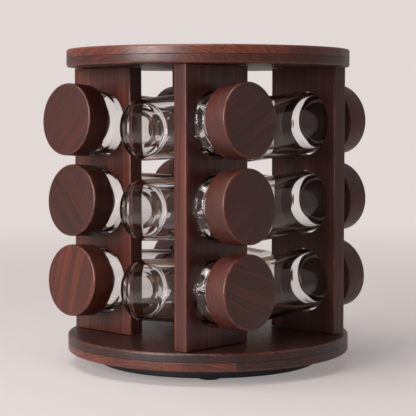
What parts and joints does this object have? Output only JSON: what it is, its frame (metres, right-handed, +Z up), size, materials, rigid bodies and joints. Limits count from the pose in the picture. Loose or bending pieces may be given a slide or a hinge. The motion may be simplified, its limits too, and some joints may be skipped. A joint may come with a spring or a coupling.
{
  "type": "spice carousel",
  "caption": "Round wooden spice rack that turns on a low base, its upright boards holding lidded glass jars that lie in round holes.",
  "frame": {"origin": "on the floor at the middle of the base, on the axis that the rack turns about", "axes": "+Z up along the turning axis; the front board faces -Y and its jars slide out along -Y, tipped up by 4 degrees"},
  "size_m": [0.18, 0.18, 0.2],
  "materials": {
    "rack_wood": "dark red-brown stained hardwood, satin lacquer",
    "lid_wood": "dark red-brown stained hardwood, satin lacquer",
    "jar_glass": "clear, polished",
    "seal_silicone": "translucent white silicone",
    "base_plastic": "black, satin moulded",
    "foot_rubber": "matte black",
    "bearing_steel": "pressed and zinc plated",
    "screw_steel": "zinc plated",
    "dowel_wood": "plain beech"
  },
  "bodies": {
    "base": {"base_disc": "base_plastic", "foot_1": "foot_rubber", "foot_2": "foot_rubber", "foot_3": "foot_rubber", "foot_4": "foot_rubber", "lower_race": "bearing_steel"},
    "ball_cage": {"ball_cage": "bearing_steel"},
    "carousel": {"lower_plate": "rack_wood", "upper_plate": "rack_wood", "upper_race": "bearing_steel", "pivot_bolt": "screw_steel", "board_front": "rack_wood", "board_right": "rack_wood", "board_back": "rack_wood", "board_left": "rack_wood", "screw_front": "screw_steel", "screw_right": "screw_steel", "screw_back": "screw_steel", "screw_left": "screw_steel", "dowel_front": "dowel_wood", "dowel_right": "dowel_wood", "dowel_back": "dowel_wood", "dowel_left": "dowel_wood"},
    "jar_front_top": {"jar_front_top": "jar_glass"},
    "lid_front_top": {"lid_front_top": "lid_wood", "seal_front_top": "seal_silicone"},
    "jar_front_middle": {"jar_front_middle": "jar_glass"},
    "lid_front_middle": {"lid_front_middle": "lid_wood", "seal_front_middle": "seal_silicone"},
    "jar_front_bottom": {"jar_front_bottom": "jar_glass"},
    "lid_front_bottom": {"lid_front_bottom": "lid_wood", "seal_front_bottom": "seal_silicone"},
    "jar_right_top": {"jar_right_top": "jar_glass"},
    "lid_right_top": {"lid_right_top": "lid_wood", "seal_right_top": "seal_silicone"},
    "jar_right_middle": {"jar_right_middle": "jar_glass"},
    "lid_right_middle": {"lid_right_middle": "lid_wood", "seal_right_middle": "seal_silicone"},
    "jar_right_bottom": {"jar_right_bottom": "jar_glass"},
    "lid_right_bottom": {"lid_right_bottom": "lid_wood", "seal_right_bottom": "seal_silicone"},
    "jar_back_top": {"jar_back_top": "jar_glass"},
    "lid_back_top": {"lid_back_top": "lid_wood", "seal_back_top": "seal_silicone"},
    "jar_back_middle": {"jar_back_middle": "jar_glass"},
    "lid_back_middle": {"lid_back_middle": "lid_wood", "seal_back_middle": "seal_silicone"},
    "jar_back_bottom": {"jar_back_bottom": "jar_glass"},
    "lid_back_bottom": {"lid_back_bottom": "lid_wood", "seal_back_bottom": "seal_silicone"},
    "jar_left_top": {"jar_left_top": "jar_glass"},
    "lid_left_top": {"lid_left_top": "lid_wood", "seal_left_top": "seal_silicone"},
    "jar_left_middle": {"jar_left_middle": "jar_glass"},
    "lid_left_middle": {"lid_left_middle": "lid_wood", "seal_left_middle": "seal_silicone"},
    "jar_left_bottom": {"jar_left_bottom": "jar_glass"},
    "lid_left_bottom": {"lid_left_bottom": "lid_wood", "seal_left_bottom": "seal_silicone"}
  },
  "joints": [
    {"name": "carousel_spin", "type": "hinge", "parent": "base", "child": "carousel", "pos_m": [0, 0, 0.0088], "axis": [0, 0, 1], "continuous": true},
    {"name": "cage_spin", "type": "hinge", "parent": "base", "child": "ball_cage", "pos_m": [0, 0, 0.0061], "axis": [0, 0, 1], "continuous": true},
    {"name": "jar_slide_front_top", "type": "slide", "parent": "carousel", "child": "jar_front_top", "axis": [0, -0.9976, 0.0698], "range_m": [-0.0038, 0.0962]},
    {"name": "lid_pull_front_top", "type": "slide", "parent": "jar_front_top", "child": "lid_front_top", "axis": [0, -0.9976, 0.0698], "range_m": [0, 0.03]},
    {"name": "jar_slide_front_middle", "type": "slide", "parent": "carousel", "child": "jar_front_middle", "axis": [0, -0.9976, 0.0698], "range_m": [0, 0.1]},
    {"name": "lid_pull_front_middle", "type": "slide", "parent": "jar_front_middle", "child": "lid_front_middle", "axis": [0, -0.9976, 0.0698], "range_m": [0, 0.03]},
    {"name": "jar_slide_front_bottom", "type": "slide", "parent": "carousel", "child": "jar_front_bottom", "axis": [0, -0.9976, 0.0698], "range_m": [-0.0004, 0.0996]},
    {"name": "lid_pull_front_bottom", "type": "slide", "parent": "jar_front_bottom", "child": "lid_front_bottom", "axis": [0, -0.9976, 0.0698], "range_m": [0, 0.03]},
    {"name": "jar_slide_right_top", "type": "slide", "parent": "carousel", "child": "jar_right_top", "axis": [0.9976, 0, 0.0698], "range_m": [-0.0008, 0.0992]},
    {"name": "lid_pull_right_top", "type": "slide", "parent": "jar_right_top", "child": "lid_right_top", "axis": [0.9976, 0, 0.0698], "range_m": [0, 0.03]},
    {"name": "jar_slide_right_middle", "type": "slide", "parent": "carousel", "child": "jar_right_middle", "axis": [0.9976, 0, 0.0698], "range_m": [-0.0004, 0.0996]},
    {"name": "lid_pull_right_middle", "type": "slide", "parent": "jar_right_middle", "child": "lid_right_middle", "axis": [0.9976, 0, 0.0698], "range_m": [0, 0.03]},
    {"name": "jar_slide_right_bottom", "type": "slide", "parent": "carousel", "child": "jar_right_bottom", "axis": [0.9976, 0, 0.0698], "range_m": [-0.001, 0.099]},
    {"name": "lid_pull_right_bottom", "type": "slide", "parent": "jar_right_bottom", "child": "lid_right_bottom", "axis": [0.9976, 0, 0.0698], "range_m": [0, 0.03]},
    {"name": "jar_slide_back_top", "type": "slide", "parent": "carousel", "child": "jar_back_top", "axis": [0, 0.9976, 0.0698], "range_m": [-0.0006, 0.0994]},
    {"name": "lid_pull_back_top", "type": "slide", "parent": "jar_back_top", "child": "lid_back_top", "axis": [0, 0.9976, 0.0698], "range_m": [0, 0.03]},
    {"name": "jar_slide_back_middle", "type": "slide", "parent": "carousel", "child": "jar_back_middle", "axis": [0, 0.9976, 0.0698], "range_m": [-0.0012, 0.0988]},
    {"name": "lid_pull_back_middle", "type": "slide", "parent": "jar_back_middle", "child": "lid_back_middle", "axis": [0, 0.9976, 0.0698], "range_m": [0, 0.03]},
    {"name": "jar_slide_back_bottom", "type": "slide", "parent": "carousel", "child": "jar_back_bottom", "axis": [0, 0.9976, 0.0698], "range_m": [-0.0003, 0.0997]},
    {"name": "lid_pull_back_bottom", "type": "slide", "parent": "jar_back_bottom", "child": "lid_back_bottom", "axis": [0, 0.9976, 0.0698], "range_m": [0, 0.03]},
    {"name": "jar_slide_left_top", "type": "slide", "parent": "carousel", "child": "jar_left_top", "axis": [-0.9976, 0, 0.0698], "range_m": [-0.001, 0.099]},
    {"name": "lid_pull_left_top", "type": "slide", "parent": "jar_left_top", "child": "lid_left_top", "axis": [-0.9976, 0, 0.0698], "range_m": [0, 0.03]},
    {"name": "jar_slide_left_middle", "type": "slide", "parent": "carousel", "child": "jar_left_middle", "axis": [-0.9976, 0, 0.0698], "range_m": [-0.0003, 0.0997]},
    {"name": "lid_pull_left_middle", "type": "slide", "parent": "jar_left_middle", "child": "lid_left_middle", "axis": [-0.9976, 0, 0.0698], "range_m": [0, 0.03]},
    {"name": "jar_slide_left_bottom", "type": "slide", "parent": "carousel", "child": "jar_left_bottom", "axis": [-0.9976, 0, 0.0698], "range_m": [-0.0008, 0.0992]},
    {"name": "lid_pull_left_bottom", "type": "slide", "parent": "jar_left_bottom", "child": "lid_left_bottom", "axis": [-0.9976, 0, 0.0698], "range_m": [0, 0.03]}
  ],
  "couplings": [
    {"joint": "cage_spin", "follows": "carousel_spin", "ratio": 0.5}
  ]
}
